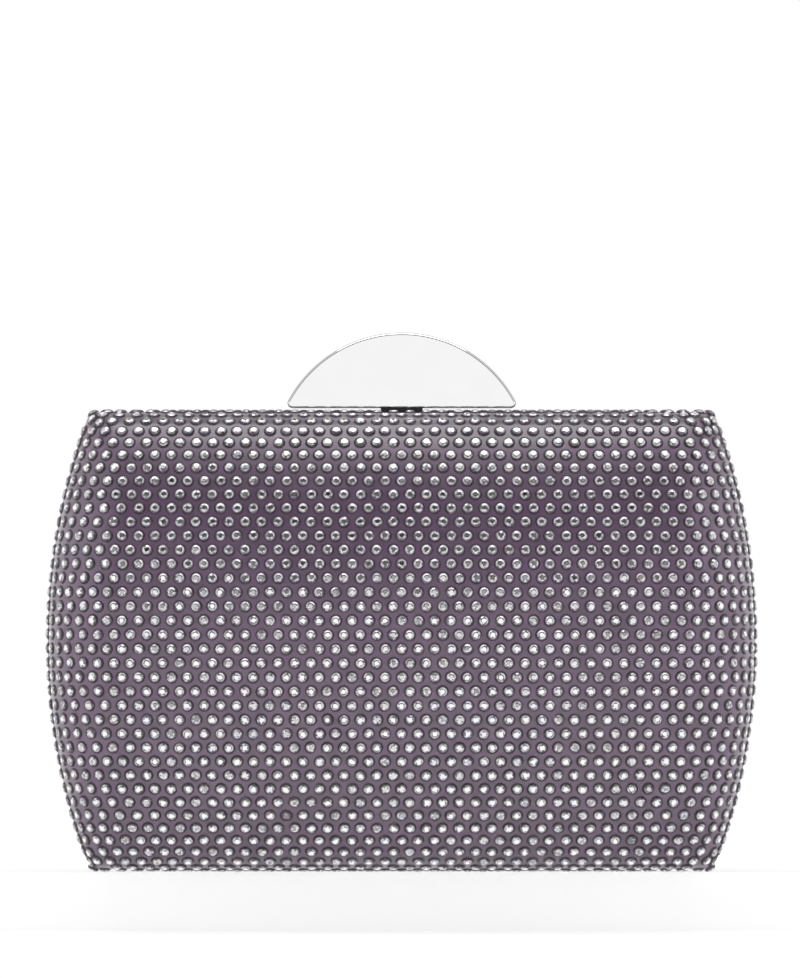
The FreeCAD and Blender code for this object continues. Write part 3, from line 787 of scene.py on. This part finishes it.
def make_pocket():
    rows = []
    for line in range(POCKET_LINES + 1):
        z = POCKET_BOTTOM + (POCKET_TOP - POCKET_BOTTOM) * line / POCKET_LINES
        row = []
        for x in pocket_columns():
            point = pocket_point(x, z, POCKET_MIDDLE)
            point.y -= POCKET_CREASE * (1 + noise.noise(point * POCKET_WAVES))
            row.append((point, (x, z)))
        rows.append(row)
    mesh = cloth_mesh("pocket_cloth", rows, REAR, lining_satin)
    pocket = finished_sheet("pocket_cloth", mesh, POCKET_THICKNESS, 0)
    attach(pocket, "rear")
    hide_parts("slip_pocket")
    hem = make_hem()
    stitches = make_stitches()


def make_hem():
    """Turned-in top edge of the pocket, a second layer with a rounded fold at the top."""
    rows = []
    for step in range(-HEM_STEPS, HEM_STEPS + 1):
        drop = HEM_DEPTH * max(0, -step) / HEM_STEPS
        fold = max(0, step) / HEM_STEPS * math.pi / 2
        z = POCKET_TOP - drop + HEM_FOLD * math.sin(fold)
        row = []
        for x in pocket_columns():
            point = pocket_point(x, POCKET_TOP - drop, POCKET_MIDDLE)
            point.y -= HEM_OUT * math.cos(fold)
            point.z = z
            row.append((point, (x, z)))
        rows.append(row)
    mesh = cloth_mesh("pocket_hem", rows, REAR, lining_satin)
    hem = finished_sheet("pocket_hem", mesh, HEM_THICKNESS, 0)
    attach(hem, "rear")
    return hem


def stitch_tree():
    """Sews a row of short threads along every run of edges."""
    tree, bench, given = new_tree("sew_stitches", {
        "Pitch": "Float", "Length": "Float", "Radius": "Float", "Thread": "Material",
    })
    path = bench.add("GeometryNodeMeshToCurve", {}, {"Mesh": given["Geometry"]})
    place_sockets = {"Curve": path, "Length": given["Pitch"]}
    places = bench.add("GeometryNodeResampleCurve", {"mode": "LENGTH"}, place_sockets)
    along = bench.add("GeometryNodeInputTangent")
    laid = bench.add("FunctionNodeAlignRotationToVector", {"axis": "Z"}, {"Vector": along})
    ball = bench.add("GeometryNodeMeshUVSphere", {}, {
        "Segments": STITCH_SEGMENTS, "Rings": STITCH_RINGS, "Radius": given["Radius"],
    })
    stretch = given["Length"] / given["Radius"] / 2
    size = bench.add("ShaderNodeCombineXYZ", {}, {"X": 1.0, "Y": 1.0, "Z": stretch})
    thread = bench.add("GeometryNodeTransform", {}, {"Geometry": ball, "Scale": size})
    sewn = bench.add("GeometryNodeInstanceOnPoints", {}, {
        "Points": places, "Instance": thread, "Rotation": laid,
    })
    sewn = bench.add("GeometryNodeRealizeInstances", {}, {"Geometry": sewn})
    sewn = bench.add("GeometryNodeSetMaterial", {}, {"Geometry": sewn, "Material": given["Thread"]})
    close_tree(bench, sewn)
    return tree


def make_stitches():
    """Stitches round three sides of the pocket and along its hem."""
    side = POCKET_WIDTH / 2 - POCKET_SEAM
    low = POCKET_BOTTOM + POCKET_SEAM
    hem_edge = POCKET_TOP - HEM_DEPTH
    hem_line = hem_edge + POCKET_SEAM / 2
    runs = [
        [(-side, hem_edge), (-side, low), (side, low), (side, hem_edge)],
        [(-side, hem_line), (side, hem_line)],
    ]
    points, edges = [], []
    for run in runs:
        start = len(points)
        for first, second in zip(run, run[1:]):
            for step in range(SEAM_STEPS):
                points.append(tuple(a + (b - a) * step / SEAM_STEPS for a, b in zip(first, second)))
        points.append(run[-1])
        edges += [(i, i + 1) for i in range(start, len(points) - 1)]
    face = POCKET_MIDDLE + POCKET_THICKNESS / 2
    places = []
    for x, z in points:
        point = pocket_point(x, z, face)
        point.y -= STITCH_LIFT + (HEM_STITCH_LIFT if z > hem_edge else 0)
        places.append(point)
    mesh = bpy.data.meshes.new("stitch_lines")
    mesh.from_pydata(places, edges, [])
    stitches = grown("pocket_stitches", mesh, stitch_tree(), {
        "Pitch": STITCH_PITCH, "Length": STITCH_LENGTH, "Radius": STITCH_RADIUS, "Thread": lining_thread,
    })
    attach(stitches, "rear")
    return stitches


# Half-moon

def half_moon_outline():
    """Half-moon seen from the front, in x and height over its straight edge, from the right tip round."""
    radius = (PLATE_HALF_WIDTH**2 + PLATE_HEIGHT**2) / (2 * PLATE_HEIGHT)
    centre = PLATE_HEIGHT - radius
    tip_height = PLATE_TIP_RADIUS - centre
    tip_x = math.sqrt((radius - PLATE_TIP_RADIUS) ** 2 - tip_height**2)
    meet = math.atan2(tip_height, tip_x)
    right = []
    for step in range(PLATE_TIP_STEPS + 1):
        angle = -math.pi / 2 + (meet + math.pi / 2) * step / PLATE_TIP_STEPS
        right.append((tip_x + PLATE_TIP_RADIUS * math.cos(angle), PLATE_TIP_RADIUS * (1 + math.sin(angle))))
    crown = []
    for step in range(1, PLATE_CROWN_STEPS):
        angle = meet + (math.pi - 2 * meet) * step / PLATE_CROWN_STEPS
        crown.append((radius * math.cos(angle), centre + radius * math.sin(angle)))
    left = [(-x, height) for x, height in reversed(right)]
    return right + crown + left


def make_half_moon():
    bm = bmesh.new()
    front = -PLATE_THICKNESS / 2
    outline = [bm.verts.new((x, front, PLATE_BOTTOM + height)) for x, height in half_moon_outline()]
    extruded = bmesh.ops.extrude_face_region(bm, geom=[bm.faces.new(outline)])
    moved = [part for part in extruded["geom"] if isinstance(part, bmesh.types.BMVert)]
    bmesh.ops.translate(bm, verts=moved, vec=(0, PLATE_THICKNESS, 0))
    bmesh.ops.recalc_face_normals(bm, faces=bm.faces)
    rims = []
    for edge in bm.edges:
        first, second = edge.verts
        if abs(first.co.y - second.co.y) < PLATE_THICKNESS / 2:
            rims.append(edge)
    bevel_steps = PLATE_BEVEL_STEPS
    bmesh.ops.bevel(bm, geom=rims, offset=PLATE_BEVEL, segments=bevel_steps, profile=0.5, affect="EDGES")
    for part in bm.faces:
        facing = abs(part.normal.y)
        part.smooth = facing < PLATE_FLAT
        # bevel faces get the darker finish, a painted shade along the edge
        part.material_index = int(facing < PLATE_SHADED_RIM)
    mesh = bpy.data.meshes.new("half_moon")
    bm.to_mesh(mesh)
    bm.free()
    mesh.materials.append(mirror_silver)
    mesh.materials.append(silver_rim_painted_shade)
    plate = add_object("half_moon", mesh)
    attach(plate, "clasp")
    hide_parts("clasp_plate")


stones_tree = stone_tree()
for body, half in HALVES.items():
    make_satin(body, half)
    make_stones(body, half, stones_tree)
    make_lining(body, half)
make_pocket()
make_half_moon()

# Finishes of the metal pieces and the shells
finished_parts = {
    nickel: ["rear_frame", "front_frame", "chain_eye_left", "chain_eye_right"],
    # the lever's dark finish is painted shade
    dark_steel_painted_shade: ["clasp_lever"],
    bright_steel: [
        "latch_bracket", "latch_screws", "latch_pin", "latch_spring_rivet", "strike_plate", "strike_screws",
        "rear_hinge_leaf_left", "front_hinge_leaf_left", "hinge_pin_left",
        "rear_hinge_leaf_right", "front_hinge_leaf_right", "hinge_pin_right",
        "rear_hinge_rivets", "front_hinge_rivets",
    ],
    blued_spring: ["latch_spring"],
    shell_board: ["rear_shell", "front_shell"],
}
for finish, names in finished_parts.items():
    for name in names:
        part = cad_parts[name]
        part.data.materials.clear()
        part.data.materials.append(finish)


# Studio

FILL_LIGHT = 0.36  # light of the world on the pieces, where the camera and mirrors see it white
FLOOR_GREY = (0.92, 0.92, 0.92, 1)
FLOOR_WIDE = 12.0
FLOOR_STEP_Y = 0.3 * MM
FLOOR_DROP = 14 * MM  # of the floor in front of the seam
TOP_POWER, SIDE_POWER, FACE_POWER, FLOOR_POWER = 17, 17, 0.7, 3
FLOOR_SPREAD = 16  # degrees
CARD_DARK, OVERHEAD_DARK = 0.03, 0.25  # light at the middle of a dark card
case_middle = (0, 0, middle)


def light_path(bench):
    """1 for what the camera sees straight or through glass, and 1 for what it sees mirrored."""
    path = bench.tree.nodes.new("ShaderNodeLightPath")
    names = ("Is Camera Ray", "Is Transmission Ray", "Is Glossy Ray")
    straight, through, mirrored = [Signal(bench, path.outputs[name]) for name in names]
    return straight.at_least(through), mirrored


def make_floor():
    """White floor with a low step along the seam, where the front half swings down when it opens."""
    finish, bench = new_finish("white_floor")
    matt = bench.add("ShaderNodeBsdfDiffuse", {}, {"Color": FLOOR_GREY})
    white = bench.add("ShaderNodeEmission", {}, {"Color": WHITE, "Strength": 1.0})
    plain = (0.7 + bench.length(bench.place()) * 0.8).at_most(1.0)  # shadows fade away from the case
    seen, mirrored = light_path(bench)
    mixed = bench.add("ShaderNodeMixShader", {}, {0: (seen * plain).at_least(mirrored), 1: matt, 2: white})
    bench.add("ShaderNodeOutputMaterial", {}, {"Surface": mixed})
    points = []
    for y, z in ((FLOOR_WIDE, 0), (FLOOR_STEP_Y, 0), (FLOOR_STEP_Y, -FLOOR_DROP), (-FLOOR_WIDE, -FLOOR_DROP)):
        points += [(-FLOOR_WIDE, y, z), (FLOOR_WIDE, y, z)]
    mesh = bpy.data.meshes.new("floor")
    mesh.from_pydata(points, [], [(1, 0, 2, 3), (3, 2, 4, 5), (5, 4, 6, 7)])
    mesh.materials.append(finish)
    add_object("floor", mesh)


def make_world():
    world = bpy.data.worlds.new("studio")
    world.use_nodes = True
    world.node_tree.nodes.clear()
    bench = Bench(world.node_tree)
    fill = bench.add("ShaderNodeBackground", {}, {"Color": WHITE, "Strength": FILL_LIGHT})
    white = bench.add("ShaderNodeBackground", {}, {"Color": WHITE, "Strength": 1.0})
    seen, mirrored = light_path(bench)
    mixed = bench.add("ShaderNodeMixShader", {}, {0: seen.at_least(mirrored), 1: fill, 2: white})
    bench.add("ShaderNodeOutputWorld", {}, {"Surface": mixed})
    bpy.context.scene.world = world


def aimed(thing, place, target):
    thing.location = place
    thing.rotation_mode = "QUATERNION"
    thing.rotation_quaternion = (Vector(target) - Vector(place)).to_track_quat("-Z", "Y")


def make_softbox(name, place, size, power, target=case_middle, spread=180, mirrored=False):
    lamp = bpy.data.lights.new(name, "AREA")
    lamp.shape = "RECTANGLE"
    lamp.size, lamp.size_y = size
    lamp.energy = power
    lamp.spread = math.radians(spread)
    softbox = add_object(name, lamp)
    softbox.visible_camera = False
    softbox.visible_glossy = mirrored
    aimed(softbox, place, target)


def make_dark_card(name, place, size, darkest):
    """Dark card that only mirrors see, for the dark side of the stones and metal; it pales to its edges."""
    finish, bench = new_finish(name)
    wide, high = size[0] / 2, size[1] / 2
    away = bench.length(bench.stretched(bench.place(), (1 / wide, 1 / high, 1)))
    light = darkest + (1 - darkest) * (away * away * away * away).at_most(1.0)
    pale = bench.add("ShaderNodeEmission", {}, {"Color": WHITE, "Strength": light})
    bench.add("ShaderNodeOutputMaterial", {}, {"Surface": pale})
    corners = [(-wide, -high, 0), (wide, -high, 0), (wide, high, 0), (-wide, high, 0)]
    mesh = bpy.data.meshes.new(name)
    mesh.from_pydata(corners, [], [(0, 1, 2, 3)])
    mesh.materials.append(finish)
    card = add_object(name, mesh)
    aimed(card, place, case_middle)
    card.visible_camera = card.visible_diffuse = card.visible_shadow = card.visible_transmission = False


make_floor()
make_world()
make_softbox("top_box", (0, -0.1, 1.5), (1.6, 1.4), TOP_POWER, mirrored=True)
for side, way in (("front", FRONT), ("back", REAR)):
    lit_floor = (0, way * 0.13, 0)
    make_softbox(side + "_floor_box", (0, way * 0.13, 0.6), (0.6, 0.05), FLOOR_POWER, lit_floor, FLOOR_SPREAD)
for side, way in (("left", -1), ("right", 1)):
    make_softbox(side + "_box", (way * 1.4, -0.25, 0.4), (1.2, 0.7), SIDE_POWER)
for side, way in (("front", FRONT), ("back", REAR)):
    make_softbox(side + "_box", (0, way * 1.6, 0.3), (1.6, 0.5), FACE_POWER)
for side, way in (("front", FRONT), ("back", REAR)):
    make_dark_card(side + "_card", (0, way * 1.075, 0.59), (2.4, 0.98), CARD_DARK)
make_dark_card("overhead_card", (0, 0.45, 1.3), (2.0, 0.6), OVERHEAD_DARK)

SENSOR = 36
CAMERA_DISTANCE = 3.0
CAMERA_X = -0.4 * MM
PICTURE_HEIGHT = 233.7 * MM  # of the whole frame, at the seam
PICTURE_MIDDLE = 91.5 * MM
camera_data = bpy.data.cameras.new("camera")
camera_data.sensor_width = SENSOR
camera_data.lens = SENSOR * CAMERA_DISTANCE / PICTURE_HEIGHT
camera_data.clip_end = 100
camera = add_object("camera", camera_data)
aimed(camera, (CAMERA_X, -CAMERA_DISTANCE, PICTURE_MIDDLE), (CAMERA_X, 0, PICTURE_MIDDLE))
bpy.context.scene.camera = camera
bpy.context.scene.view_settings.view_transform = "Standard"
